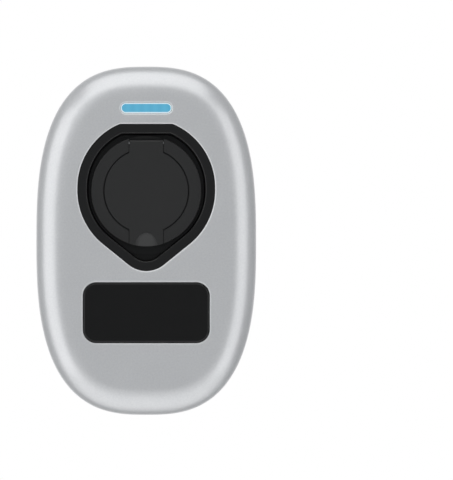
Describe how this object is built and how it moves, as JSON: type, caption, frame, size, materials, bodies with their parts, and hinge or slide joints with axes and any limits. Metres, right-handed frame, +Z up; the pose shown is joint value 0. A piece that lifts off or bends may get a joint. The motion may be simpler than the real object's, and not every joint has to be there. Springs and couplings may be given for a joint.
{
  "type": "ev wallbox",
  "caption": "Wall-mounted car charger with a silver pebble cover, a lidded seven-way charging socket, a status light and a black sculpted rear housing.",
  "frame": {"origin": "centre of the wall bracket's screw pattern, on the wall", "axes": "+Z up along the tall side, +Y into the wall, +X to the right seen from the front"},
  "size_m": [0.221, 0.1366, 0.3523],
  "materials": {
    "silver_paint": "satin",
    "black_shell": "fine texture",
    "black_trim": "satin",
    "black_badge": "smooth",
    "socket_black": "fine texture",
    "blue_light": "diffusing",
    "pale_guide": "clear to milky",
    "rubber": "matt",
    "zinc_steel": "zinc plated",
    "contact_silver": "silver plated",
    "green_board": "solder mask",
    "grey_plastic": "moulded"
  },
  "bodies": {
    "box": {"front_cover": "silver_paint", "front_body": "black_shell", "rear_housing": "black_shell", "body_gasket": "rubber", "socket_bezel": "black_trim", "socket_ring": "socket_black", "lid_hinge_pin": "zinc_steel", "lid_spring": "zinc_steel", "socket_shell": "socket_black", "socket_insert": "socket_black", "power_contacts": "contact_silver", "signal_contacts": "contact_silver", "lock_actuator": "grey_plastic", "light_guide": "pale_guide", "light_lens": "blue_light", "led_board": "green_board", "badge_plate": "black_badge", "radio_board": "green_board", "control_board": "green_board", "contactor": "grey_plastic", "terminal_block": "grey_plastic", "current_sensor": "grey_plastic", "cable_grommet": "rubber", "wall_bracket": "zinc_steel", "body_screws": "zinc_steel", "small_screws": "zinc_steel"},
    "lid": {"socket_lid": "socket_black", "lid_seal": "rubber"},
    "lock": {"lock_pin": "zinc_steel"}
  },
  "joints": [
    {"name": "lid_hinge", "type": "hinge", "parent": "box", "child": "lid", "pos_m": [0, -0.1282, 0.1249], "axis": [-1, 0, 0], "range_deg": [0, 110], "stiffness_Nm_per_rad": 0.05, "springref_deg": -28.65},
    {"name": "lock_slide", "type": "slide", "parent": "box", "child": "lock", "axis": [0, 0, -1], "range_m": [0, 0.007]}
  ]
}
